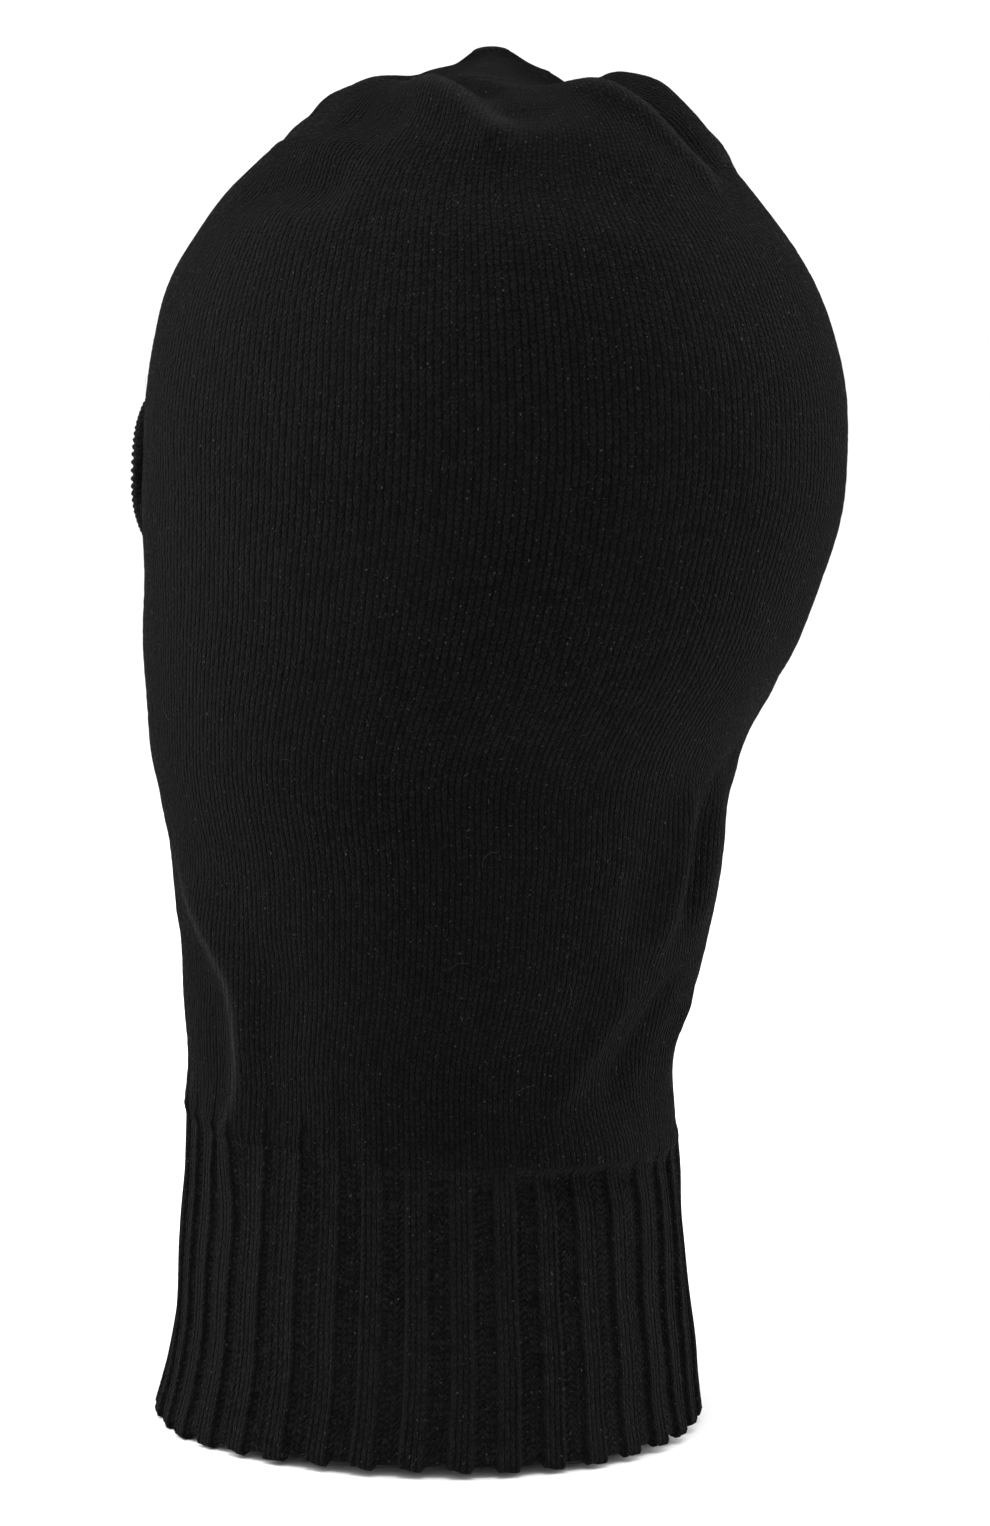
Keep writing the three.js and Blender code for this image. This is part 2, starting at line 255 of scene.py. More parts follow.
def fold_rise(points, normals, bends, rise, left, right):
    """How far a fold along the line of bends lifts the cloth at each point."""
    ends = np.concatenate([[0], np.cumsum(np.linalg.norm(np.diff(bends, axis=0), axis=1))])
    nearest = np.full(points.shape[:-1], np.inf)
    along = np.zeros_like(nearest)
    turned = np.zeros_like(nearest)
    for start, finish, begun in zip(bends[:-1], bends[1:], ends):
        run = finish - start
        share = np.clip((points - start) @ run / (run @ run), 0, 1)
        off = points - start - share[..., None] * run
        distance = np.linalg.norm(off, axis=-1)
        closer = distance < nearest
        nearest = np.where(closer, distance, nearest)
        along = np.where(closer, begun + share * np.linalg.norm(run), along)
        turned = np.where(closer, np.sum(np.cross(run, off) * normals, axis=-1), turned)
    reach = left + (right - left) * smoothstep(-turned / (np.abs(turned) + 1e-9) * nearest, -2, 2)
    share = along / ends[-1]
    fade = smoothstep(share, 0, 0.28) * (1 - smoothstep(share, 0.72, 1))
    return rise * fade * np.exp(-((nearest / reach) ** 2))


def slack(azimuth, step):
    total = 0
    for waves, climb, phase, rise in SLACK:
        total = total + rise * np.sin(waves * azimuth + climb * step + phase)
    return total * smoothstep(radius_at(step), 6, 30)


def rib_top(azimuth):
    return RIB_HEIGHT + RIB_TILT * np.cos(azimuth)


def overhang(azimuth, step):
    """The jersey bulges over the top of the rib and the rib below is drawn in, most of all in the sag at the
    back. Beside that, to the wearer's right, the rib stands out further than the jersey."""
    over = girth(step)[0] - rib_top(azimuth)
    turn = azimuth % (2 * math.pi)
    sag = 0.3 + 2.1 * np.exp(-(((turn - 2.8) / 0.32) ** 2))
    bulge = 1.7 * smoothstep(over, -0.6, 1.6) * (1 - smoothstep(over, 3, 17))
    drawn = 0.8 * smoothstep(over, -12, -2) * (1 - smoothstep(over, -1, 0.6))
    proud = 1.1 * smoothstep(over, -24, -6) * (1 - smoothstep(over, -1, 3))
    return sag * (bulge - drawn) + proud * np.exp(-(((turn - 3.75) / 0.35) ** 2))


def worn(azimuth, step):
    """Points of the worn cloth's mean outer face, folds and all, and the way out from it."""
    azimuth, step = np.broadcast_arrays(azimuth, step)
    points, normals = plain_point(azimuth, step), plain_normal(azimuth, step)
    lift = slack(azimuth, step) + overhang(azimuth, step) - dart_dip(azimuth, step)
    for lines, to_step in ((FOLDS, step_at), (PUCKERS, step_at_radius)):
        for line, rise, left, right in lines:
            turns, places = np.array(line, float).T
            bends = plain_point(np.radians(turns), to_step(places))
            lift = lift + fold_rise(points, normals, bends, rise, left, right)
    return points + normals * lift[..., None], normals


def painted_crest_highlight(points):
    """How much painted highlight each point gets: 1 on the sharpest edge of a fold, 0 away from any."""
    total = 0
    for line, by_radius, strength, reach in CREST_HIGHLIGHTS:
        turns, places = np.array(line, float).T
        finer = np.linspace(0, len(line) - 1, 4 * len(line))
        turns, places = (np.interp(finer, range(len(line)), values) for values in (turns, places))
        bends = worn(np.radians(turns), (step_at_radius if by_radius else step_at)(places))[0]
        total = total + fold_rise(points, np.zeros_like(points), bends, strength, reach, reach)
    return total


def cloth(azimuth, step, offset):
    """Points at an offset outside the worn cloth's mean face."""
    points, normals = worn(azimuth, step)
    return points + normals * np.broadcast_to(offset, points.shape[:-1])[..., None]


# ---------------------------------------------------------------- meshes


def put(name, data):
    """A new object in the scene."""
    thing = bpy.data.objects.new(name, data)
    bpy.context.scene.collection.objects.link(thing)
    return thing


def make_piece(name, points, ids, sizes, uv, purl, smooth, material):
    """A mesh from points, and corners that each name a point and carry their own place in the knitting. The
    edges of its flat faces are sharp, so that they don't bend the shading of the smooth ones."""
    mesh = bpy.data.meshes.new(name)
    mesh.vertices.add(len(points))
    mesh.vertices.foreach_set("co", ((points + (0, 0, HEM)) * MM).astype(np.float32).ravel())
    mesh.loops.add(len(ids))
    mesh.loops.foreach_set("vertex_index", ids.astype(np.int32))
    mesh.polygons.add(len(sizes))
    starts = np.concatenate([[0], np.cumsum(sizes)[:-1]])
    mesh.polygons.foreach_set("loop_start", starts.astype(np.int32))
    mesh.polygons.foreach_set("use_smooth", smooth)
    mesh.uv_layers.new(name="knit").data.foreach_set("uv", uv.astype(np.float32).ravel())
    mesh.attributes.new("purl", "FLOAT", "POINT").data.foreach_set("value", purl.astype(np.float32))
    mesh.update(calc_edges=True)
    mesh.validate()
    edges = np.empty(len(ids), np.int32)
    mesh.loops.foreach_get("edge_index", edges)
    sharp = np.zeros(len(mesh.edges), bool)
    sharp[edges[np.repeat(~smooth, sizes)]] = True
    mesh.attributes.new("sharp_edge", "BOOLEAN", "EDGE").data.foreach_set("value", sharp)
    mesh.materials.append(material)
    return put(name, mesh)


def grid_cells(rows, columns, first, inward):
    """The corners of each cell of a grid of points, as an array of rows x columns x 4."""
    flat = first + np.arange(rows * columns).reshape(rows, columns)
    corners = [flat[:-1, :-1], flat[:-1, 1:], flat[1:, 1:], flat[1:, :-1]]
    return np.stack(corners[::-1] if inward else corners, axis=-1)


def rim_faces(keep, ring, fine, outer_at, inner_at):
    """Faces that join the two sides of a shell round its edges and its holes."""
    rows, columns = keep.shape
    across, up = fine
    faces = []

    def kept(row, column):
        if ring:
            column %= columns
        return 0 <= row < rows and 0 <= column < columns and keep[row, column]

    for row, column in zip(*np.nonzero(keep)):
        low, left = row * up, column * across
        if not kept(row - 1, column):
            outside = [outer_at(low, left + k) for k in range(across, -1, -1)]
            faces.append([*outside, inner_at(row, column), inner_at(row, column + 1)])
        if not kept(row + 1, column):
            outside = [outer_at(low + up, left + k) for k in range(across + 1)]
            faces.append([*outside, inner_at(row + 1, column + 1), inner_at(row + 1, column)])
        if not kept(row, column - 1):
            outside = [outer_at(low + k, left) for k in range(up + 1)]
            faces.append([*outside, inner_at(row + 1, column), inner_at(row, column)])
        if not kept(row, column + 1):
            outside = [outer_at(low + k, left + across) for k in range(up, -1, -1)]
            faces.append([*outside, inner_at(row, column + 1), inner_at(row + 1, column + 1)])
    return faces


def shell(name, outer, inner, fine, material, ring=False, keep=None):
    """A thin closed body between a fine outer side and a coarser inner one. fine is how many outer cells go
    to one inner cell, across and up. A ring's last column is its first. keep says which inner cells there
    are."""
    across, up = fine
    rows, columns = (n - 1 for n in inner.points.shape[:2])
    if keep is None:
        keep = np.ones((rows, columns), bool)
    sides = (outer, inner)
    shapes = [side.points.shape[:2] for side in sides]
    firsts = (0, shapes[0][0] * shapes[0][1])
    faces = grid_cells(*shapes[0], 0, False)[np.kron(keep, np.ones((up, across))).astype(bool)]
    backs = grid_cells(*shapes[1], firsts[1], True)[keep]
    rims = rim_faces(
        keep, ring, fine,
        lambda row, column: row * shapes[0][1] + column,
        lambda row, column: firsts[1] + row * shapes[1][1] + column,
    )
    corners = np.concatenate([faces.ravel(), backs.ravel(), *[np.array(rim) for rim in rims]]).astype(int)
    sizes = np.array([4] * (len(faces) + len(backs)) + [len(rim) for rim in rims])
    smooth = np.arange(len(sizes)) < len(faces) + len(backs)
    ids = []
    for (height, width), first in zip(shapes, firsts):
        own = first + np.arange(height * width).reshape(height, width)
        if ring:
            own[:, -1] = own[:, 0]
        ids.append(own.ravel())
    ids = np.concatenate(ids)[corners]
    uv = np.concatenate([side.uv.reshape(-1, 2) for side in sides])[corners]
    points = np.concatenate([side.points.reshape(-1, 3) for side in sides])
    purl = np.concatenate([np.broadcast_to(side.purl, side.points.shape[:2]).ravel() for side in sides])
    used, ids = np.unique(ids, return_inverse=True)
    return make_piece(name, points[used], ids, sizes, uv, purl[used], smooth, material)


def tubes(name, lines, radius, material, sides=6):
    """A closed tube along each line of points, narrowing at its ends. Lines all have the same length."""
    lines = np.asarray(lines, float)
    count, length = lines.shape[:2]
    run = unit(np.gradient(lines, axis=1))
    least = np.eye(3)[np.argmin(np.abs(run).mean(axis=1), axis=-1)][:, None]
    aside = unit(np.cross(run, least))
    over = np.cross(aside, run)
    turn = np.arange(sides) / sides * 2 * math.pi
    ends = np.clip(np.minimum(np.arange(length), np.arange(length)[::-1]) + 0.45, 0, 1)
    width = radius * ends[None, :, None, None]
    ring = aside[:, :, None] * np.cos(turn)[:, None] + over[:, :, None] * np.sin(turn)[:, None]
    points = lines[:, :, None] + ring * width
    flat = np.arange(count * length * sides).reshape(count, length, sides)
    ahead = np.roll(flat, -1, axis=2)
    quads = np.stack([flat[:, :-1], flat[:, 1:], ahead[:, 1:], ahead[:, :-1]], axis=-1).reshape(-1, 4)
    caps = np.concatenate([flat[:, 0], flat[:, -1, ::-1]])
    corners = np.concatenate([quads.ravel(), caps.ravel()])
    sizes = np.array([4] * len(quads) + [sides] * len(caps))
    place = np.stack(np.broadcast_arrays(
        np.arange(sides) / sides, np.arange(length)[:, None] * 1.0), axis=-1)
    uv = np.broadcast_to(place, (count, length, sides, 2)).reshape(-1, 2)[corners]
    smooth = np.arange(len(sizes)) < len(quads)
    purl = np.zeros(count * length * sides)
    return make_piece(name, points.reshape(-1, 3), corners, sizes, uv, purl, smooth, material)


# ---------------------------------------------------------------- the knitting's relief


def wale_ridge(wale):
    """1 along the middle of a stitch column, and 0 in the groove beside it."""
    return 1 - np.abs(2 * ((wale + 1e-6) % 1) - 1) ** 3


def purl_share(wale):
    """0 on the four knit columns of a rib, 1 on the four purl ones."""
    place = (wale + RIB_PERIOD / 4) % RIB_PERIOD
    return smoothstep(place, 3.75, 4.35) * (1 - smoothstep(place, 7.65, 8.25)) + (place < 0.25) * (
        1 - smoothstep(place + 8, 7.65, 8.25))


def edge_wales(wale):
    """1 on the two outermost knit columns of a rib."""
    place = (wale + RIB_PERIOD / 4) % RIB_PERIOD
    return np.exp(-(((place - 0.55) / 0.5) ** 2)) + np.exp(-(((place - 3.45) / 0.5) ** 2))


def rib_lift(wale, depth):
    """Height of a ribbed face. depth is how much of the full relief there is."""
    groove = purl_share(wale)
    floor = RIB_RELIEF * groove * (1 - 0.16 * np.cos((wale % RIB_PERIOD - 4) / 2 * math.pi / 1.6))
    return depth * (EDGE_WALE * edge_wales(wale) - floor) + WALE_RELIEF * (wale_ridge(wale) - 1)


def stitch_jitter(wale, course):
    """Small unevenness from stitch to stitch, the same at each run and in two pieces that meet."""
    a = np.sin(np.floor(wale + 0.01) % WALES * 12.9898 + np.round(course) * 78.233) * 43758.5453
    return STITCH_UNEVEN * (a - np.floor(a) - 0.5)


# ---------------------------------------------------------------- materials


WOOL = (0.0027, 0.00262, 0.00267)
WOOL_DARK, WOOL_PALE = 0.15, 2.6  # the shaded and the lit yarn, as shares of that
RIB_PALER = 1.35  # the rib's wool, as a share of the hood's
# The colour of the pale specks, and also of the painted highlight on the sharp edges of folds.
SPECK_AND_HIGHLIGHT = (0.09, 0.088, 0.085)
CREST_HIGHLIGHT_SHARE = 0.32  # how far the wool turns to that paler shade as a painted highlight on the sharp edges of folds
SHEEN = (0.021, 0.36)  # weight and roughness of the fuzz's glow at grazing angles


def node_tree(name):
    material = bpy.data.materials.new(name)
    material.use_nodes = True
    return material, material.node_tree, material.node_tree.nodes["Principled BSDF"]


def feed(tree, node, values):
    """Gives inputs of a node their values. A value is plain, or another node's output."""
    for name, value in values.items():
        if isinstance(value, bpy.types.NodeSocket):
            tree.links.new(value, node.inputs[name])
        else:
            node.inputs[name].default_value = value


def add_node(tree, kind, values, output=0, **settings):
    """One output of a new node."""
    node = tree.nodes.new("ShaderNode" + kind)
    for name, setting in settings.items():
        setattr(node, name, setting)
    feed(tree, node, values)
    return node.outputs[output]


def calc(tree, operation, *values):
    """A Math node. A value is a number or another node's output."""
    return add_node(tree, "Math", dict(enumerate(values)), operation=operation)


def noise(tree, vector, scale, detail=2.0):
    return add_node(tree, "TexNoise", {"Scale": scale, "Detail": detail, "Vector": vector}, "Fac")


def ramp(tree, value, low, high):
    values = {"From Min": low, "From Max": high, "Value": value}
    return add_node(tree, "MapRange", values, "Result", interpolation_type="SMOOTHSTEP")


def mix_colours(tree, share, low, high):
    low, high = ((*colour, 1) if isinstance(colour, tuple) else colour for colour in (low, high))
    return add_node(tree, "Mix", {"Factor": share, "A": low, "B": high}, "Result", data_type="RGBA")


def bump(tree, height, distance):
    return add_node(tree, "Bump", {"Strength": 1, "Distance": distance, "Height": height}, "Normal")


def object_place(tree):
    return add_node(tree, "TexCoord", {}, "Object")


def stored(tree, name):
    """A number that is stored with each vertex."""
    return add_node(tree, "Attribute", {}, "Fac", attribute_name=name)


def knit_place(tree):
    """The place in the knitting or the weave: how far across, and how far along."""
    place = add_node(tree, "UVMap", {}, "UV", uv_map="knit")
    return [add_node(tree, "SeparateXYZ", {"Vector": place}, axis) for axis in "XY"]


def stitch_place(tree, place):
    """Stitch column and row at a point, made a little uneven as worn wool is."""
    across, along = knit_place(tree)
    wander = calc(tree, "SUBTRACT", noise(tree, place, 420), 0.5)
    drift = calc(tree, "SUBTRACT", noise(tree, place, 260), 0.5)
    wale = calc(tree, "MULTIPLY_ADD", wander, 0.6, across)
    luck = add_node(tree, "TexWhiteNoise", {"W": calc(tree, "FLOOR", wale)}, "Value", noise_dimensions="1D")
    course = calc(tree, "MULTIPLY_ADD", drift, 2.2, along)
    return wale, calc(tree, "MULTIPLY_ADD", luck, 0.6, course)


def hump(tree, value):
    """A rounded bump from a number that runs from 0 to 1 across it."""
    off = calc(tree, "MULTIPLY", calc(tree, "SUBTRACT", value, 0.5), 2)
    return calc(tree, "SUBTRACT", 1, calc(tree, "POWER", calc(tree, "ABSOLUTE", off), 2.2))


def fullness(tree, wale, course):
    """How full each stitch is, from 0 to 1: the yarn isn't even."""
    cell = add_node(tree, "CombineXYZ", {"X": calc(tree, "FLOOR", wale), "Y": calc(tree, "FLOOR", course)})
    return add_node(tree, "TexWhiteNoise", {"Vector": cell}, "Value", noise_dimensions="2D")


def knit_stitches(tree, wale, course):
    """Height of plain stitches: two legs that meet in a V, with a groove between two columns."""
    off = calc(tree, "ABSOLUTE", calc(tree, "SUBTRACT", calc(tree, "FRACT", wale), 0.5))
    leg = hump(tree, calc(tree, "MULTIPLY", off, 2))
    column = calc(tree, "SUBTRACT", 1, calc(tree, "POWER", calc(tree, "MULTIPLY", off, 2), 3))
    lean = calc(tree, "MULTIPLY_ADD", off, -1.3, course)
    along = hump(tree, calc(tree, "FRACT", lean))
    loop = calc(tree, "MULTIPLY", calc(tree, "MULTIPLY_ADD", leg, 0.4, 0.6), along)
    full = calc(tree, "MULTIPLY_ADD", fullness(tree, wale, lean), 0.9, 0.35)
    raised = calc(tree, "MULTIPLY_ADD", calc(tree, "MULTIPLY", loop, full), 0.75, 0.25)
    return calc(tree, "MULTIPLY", column, raised)


def purl_stitches(tree, wale, course):
    """Height of purl stitches: short slanting bars."""
    sway = calc(tree, "SINE", calc(tree, "MULTIPLY", wale, math.pi))
    slant = calc(tree, "MULTIPLY_ADD", sway, 0.42, course)
    bar = hump(tree, calc(tree, "FRACT", slant))
    full = calc(tree, "MULTIPLY_ADD", fullness(tree, wale, slant), 0.8, 0.4)
    swell = calc(tree, "SINE", calc(tree, "MULTIPLY", wale, 2 * math.pi))
    swell = calc(tree, "MULTIPLY_ADD", swell, 0.2, 0.7)
    return calc(tree, "MULTIPLY", calc(tree, "MULTIPLY", bar, full), swell)


def shades(tint, *shares):
    """A colour made darker or paler by each share."""
    return [tuple(share * value for value in tint) for share in shares]


def knit_material(name, tint, fuzz=1.0):
    """Fulled black wool: stitches, a fuzz of loose fibres, and a few paler hairs caught in it."""
    material, tree, shader = node_tree(name)
    place = object_place(tree)
    wale, course = stitch_place(tree, place)
    sides = {"A": knit_stitches(tree, wale, course), "B": purl_stitches(tree, wale, course)}
    stitches = add_node(tree, "Mix", {"Factor": stored(tree, "purl"), **sides}, "Result")
    fibres = noise(tree, place, 1900, 4.0)
    clumps = noise(tree, place, 700, 3.0)
    height = calc(tree, "MULTIPLY_ADD", fibres, 1.45 * fuzz, stitches)
    height = calc(tree, "MULTIPLY_ADD", clumps, 0.6 * fuzz, height)
    dark, pale = shades(tint, WOOL_DARK, WOOL_PALE)
    shade = calc(tree, "MULTIPLY_ADD", stitches, 0.5, calc(tree, "MULTIPLY", fibres, 0.7))
    colour = mix_colours(tree, ramp(tree, shade, 0.2, 0.9), dark, pale)
    faded = calc(tree, "MULTIPLY", ramp(tree, noise(tree, place, 26, 3.0), 0.35, 0.75), 0.2)
    colour = mix_colours(tree, faded, colour, pale)
    specks = calc(tree, "MULTIPLY", ramp(tree, noise(tree, place, 1300, 1.0), 0.7, 0.8), 0.5)
    colour = mix_colours(tree, specks, colour, SPECK_AND_HIGHLIGHT)
    # Painted highlight along the sharp edges of folds: there the wool's colour is mixed towards the pale
    # speck colour.
    raised = calc(tree, "MULTIPLY", stored(tree, "crest_highlight"), calc(tree, "MULTIPLY", fibres, CREST_HIGHLIGHT_SHARE))
    feed(tree, shader, {
        "Normal": bump(tree, height, 0.0006),
        "Base Color": mix_colours(tree, raised, colour, SPECK_AND_HIGHLIGHT),
        "Roughness": calc(tree, "MULTIPLY_ADD", fibres, 0.2, 0.8),
        "Specular IOR Level": 0.02,
        "Sheen Weight": SHEEN[0],
        "Sheen Roughness": SHEEN[1],
        "Sheen Tint": (0.9, 0.9, 0.92, 1),
    })
    return material


def yarn_material(name, tint):
    """Two-ply thread: the plies show as slanting ridges."""
    material, tree, shader = node_tree(name)
    across, along = knit_place(tree)
    turn = calc(tree, "MULTIPLY_ADD", along, 0.5, across)
    ply = calc(tree, "SINE", calc(tree, "MULTIPLY", turn, 4 * math.pi))
    fibres = noise(tree, object_place(tree), 3200, 3.0)
    feed(tree, shader, {
        "Normal": bump(tree, calc(tree, "MULTIPLY_ADD", ply, 0.5, fibres), 0.0002),
        "Base Color": mix_colours(tree, ramp(tree, fibres, 0.3, 0.7), *shades(tint, 1, 1.9)),
        "Roughness": calc(tree, "MULTIPLY_ADD", fibres, 0.25, 0.65),
        "Specular IOR Level": 0.1,
        "Sheen Weight": 0.05,
    })
    return material


def woven_material(name, tint, threads, gloss):
    """A woven ribbon: fine warp and weft, 1 mm holding so many threads, with brighter warp floats."""
    material, tree, shader = node_tree(name)
    across, along = knit_place(tree)
    warp = calc(tree, "SINE", calc(tree, "MULTIPLY", across, 2 * math.pi * threads))
    slant = calc(tree, "ADD", across, calc(tree, "MULTIPLY", along, 1.5))
    weft = calc(tree, "SINE", calc(tree, "MULTIPLY", slant, math.pi * threads))
    slub = noise(tree, object_place(tree), 900, 3.0)
    weave = calc(tree, "MULTIPLY_ADD", weft, 0.6, warp)
    height = calc(tree, "MULTIPLY_ADD", slub, 0.8, weave)
    feed(tree, shader, {
        "Normal": bump(tree, height, 0.00006),
        # Painted shade where the weave lies low and painted highlight on the raised warp floats: the colour
        # follows the weave's height.
        "Base Color": mix_colours(tree, ramp(tree, height, -1.2, 2.0), *shades(tint, 0.72, 1)),
        "Roughness": calc(tree, "MULTIPLY_ADD", slub, 0.25, gloss),
        "Specular IOR Level": 0.35,
        "Sheen Weight": 0.1,
    })
    return material


def floor_material(name):
    material, tree, shader = node_tree(name)
    grain = ramp(tree, noise(tree, object_place(tree), 3.0), 0.2, 0.8)
    feed(tree, shader, {
        "Base Color": mix_colours(tree, grain, (0.93, 0.93, 0.93), (0.95, 0.95, 0.95)),
        "Roughness": 0.9,
        "Specular IOR Level": 0.1,
    })
    return material


JERSEY = knit_material("jersey_wool", WOOL)
RIB = knit_material("rib_wool", tuple(RIB_PALER * value for value in WOOL), 0.8)
TRIM = knit_material("trim_wool", WOOL, 0.6)
YARN = yarn_material("linking_yarn", (0.008, 0.008, 0.0085))
SEWING = yarn_material("sewing_thread", (0.012, 0.012, 0.013))
WOVEN = woven_material("woven_label", (0.016, 0.016, 0.018), 5.0, 0.5)
SATIN = woven_material("satin_label", (0.7, 0.69, 0.66), 7.0, 0.35)
LINT = yarn_material("lint", (0.055, 0.054, 0.051))


# ---------------------------------------------------------------- the pieces


def keep_as(piece, nodes, body="hood"):
    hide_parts(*nodes)
    if body:
        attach(piece, body)
    return piece


def paint_crest_highlights(piece):
    """Stores with each vertex how much painted highlight it gets on the sharp edges of folds."""
    mesh = piece.data
    places = np.empty(3 * len(mesh.vertices), np.float32)
    mesh.vertices.foreach_get("co", places)
    share = painted_crest_highlight(places.reshape(-1, 3) / MM - (0, 0, HEM))
    mesh.attributes.new("crest_highlight", "FLOAT", "POINT").data.foreach_set("value", share.astype(np.float32))


def around_grid(first, last, rows, columns_each):
    """A grid between two stitch columns: the stitch column, its azimuth, and a share up from 0 to 1."""
    wale = np.linspace(first, last, round((last - first) * columns_each) + 1)
    wale, up = np.meshgrid(wale, np.linspace(0, 1, rows + 1))
    return wale, wale / WALES * 2 * math.pi, up


def ghost_ribs(azimuth, over):
    """How much of the ribs still shows in the jersey just above them: more at the front than at the back."""
    front = 0.25 + 0.75 * smoothstep(np.cos(azimuth), -0.75, 0.1)
    return front * 0.75 * np.exp(-np.clip(over, 0, None) / 8)


RIB_COURSES = 45


def hem_drop(azimuth):
    """How far the hem hangs lower at the left and behind than where it's highest."""
    turn = azimuth % (2 * math.pi)
    behind = HEM_DROP_BEHIND * np.exp(-(((turn - 2.7) / 0.38) ** 2))
    return HEM_DROP * np.exp(-(((turn - 0.98) / 0.6) ** 2)) + behind


def rib_side(columns_each, rows, outside):
    """One side of the ribbed neck. The outer side also wraps round the hem's edge to the inner one."""
    wale, azimuth, up = around_grid(0, WALES, rows, columns_each)
    groove = purl_share(wale)
    ragged = 0.45 + 0.45 * np.sin(wale * 0.61 + 2 * np.sin(wale * 0.137))
    hem = HEM_SCALLOP * groove + 0.9 * ragged * np.clip(np.cos((wale + 2) / 4 * math.pi) + 0.4, 0, 1)
    wrap = 4 / rows if outside else 0
    climb = np.clip((up - wrap) / (1 - wrap), 0, 1)
    low = hem + HEM_ROUND
    height = low + (rib_top(azimuth) - low) * climb
    over = height - rib_top(azimuth)
    depth = 1 - (1 - ghost_ribs(azimuth, 0)) * smoothstep(over, -5, -0.01)
    lift = rib_lift(wale, depth) + RIB_PROUD
    uneven = 0.75 + 0.5 * np.sin(wale * 0.22 + 1) * np.sin(wale * 0.09)
    curl = HEM_CURL * (1 - smoothstep(height, 0, 15)) * uneven
    inner_lift = RIB_PROUD - RIB_WALL - RIB_RELIEF * 0.25 * (1 - groove) * depth
    if outside:
        turn = np.clip(up / wrap, 0, 1) * math.pi
        thick = (lift - inner_lift) / 2
        lift = np.where(up < wrap, (lift + inner_lift) / 2 - thick * np.cos(turn), lift)
        height = np.where(up < wrap, height - HEM_ROUND * np.sin(turn), height)
    else:
        lift = inner_lift
    points = cloth(azimuth, step_at(np.clip(height, 0, None)), lift + curl)
    points[..., 2] = np.where(height < 8, np.clip(height, 0, None), points[..., 2])
    points[..., 2] -= hem_drop(azimuth) * (1 - smoothstep(height, 0, 36))
    uv = np.stack([wale, up * RIB_COURSES], axis=-1)
    return Side(points, uv, groove if outside else 1 - groove)


def neck_rib():
    rows = 56
    piece = shell("neck_rib_knit", rib_side(FINE_COLUMNS, rows, True), rib_side(1, rows // 4, False),
                  (FINE_COLUMNS, 4), RIB, ring=True)
    keep_as(piece, ["neck_rib"])
    return piece


def in_eye(azimuth, height, margin):
    """Whether a point of the cloth is inside the eye opening grown by a margin."""
    half_width, half_height = (half + margin for half in EYE_HALF)
    x = girth(step_at(height))[1] * np.sin(azimuth)
    return (np.hypot(x / half_width, (height - EYE_HEIGHT) / half_height) < 1) & (np.cos(azimuth) > 0)


HOOD_COURSES = 142


def hood_step(azimuth, up):
    """The step at a share of the way up the cloth from the rib to the crown."""
    low = arc_at(step_at(rib_top(azimuth)))
    return step_along(low + (arc_at(step_at(CROWN_BASE)) - low) * up)


def hood_side(columns_each, rows, outside):
    wale, azimuth, up = around_grid(0, WALES, rows, columns_each)
    step = hood_step(azimuth, up)
    over = girth(step)[0] - rib_top(azimuth)
    ghost = ghost_ribs(azimuth, over)
    proud = RIB_PROUD * (1 - smoothstep(over, 0, 6))
    lift = rib_lift(wale, ghost) + stitch_jitter(wale, up * HOOD_COURSES) + proud
    points = cloth(azimuth, step, lift if outside else proud - JERSEY_WALL)
    uv = np.stack([wale, RIB_COURSES + up * HOOD_COURSES], axis=-1)
    return Side(points, uv, ghost * purl_share(wale) if outside else np.ones_like(wale))


def jersey_hood():
    coarse = 71
    middle = (np.arange(WALES) + 0.5) / WALES * 2 * math.pi
    up = ((np.arange(coarse) + 0.5) / coarse)[:, None]
    height = girth(hood_step(middle, up))[0]
    keep = ~in_eye(middle + 0 * height, height, TRIM_WIDTH / 2 + 0.5)
    piece = shell("jersey_hood_knit", hood_side(FINE_COLUMNS, 2 * coarse, True), hood_side(1, coarse, False),
                  (FINE_COLUMNS, 2), JERSEY, ring=True, keep=keep)
    keep_as(piece, ["jersey_hood"])
    paint_crest_highlights(piece)
    return piece


GORE_COURSES = 58
GORE_ROWS = 116


def gore_side(index, columns_each, rows, outside):
    """One side of a gore. Its stitch columns run up to the tip and get narrower and flatter on the way."""
    quarter = WALES // GORES
    wale, azimuth, up = around_grid(index * quarter, (index + 1) * quarter, rows, columns_each)
    base = arc_at(step_at(CROWN_BASE))
    step = step_along(base + (ARC[-1] - base) * up)
    narrowed = radius_at(step) / radius_at(step_at(CROWN_BASE))
    course = HOOD_COURSES + up * GORE_COURSES
    lift = narrowed**0.6 * (WALE_RELIEF * (wale_ridge(wale) - 1) + stitch_jitter(wale, course))
    points = cloth(azimuth, step, lift if outside else -JERSEY_WALL)
    uv = np.stack([wale, RIB_COURSES + course], axis=-1)
    return Side(points, uv, np.zeros_like(wale) if outside else np.ones_like(wale))


def crown_gore(index, side):
    piece = shell(f"crown_gore_{side}_knit", gore_side(index, FINE_COLUMNS, GORE_ROWS, True),
                  gore_side(index, 1, GORE_ROWS // 2, False), (FINE_COLUMNS, 2), JERSEY)
    keep_as(piece, [f"crown_gore_{side}"])
    paint_crest_highlights(piece)
    return piece


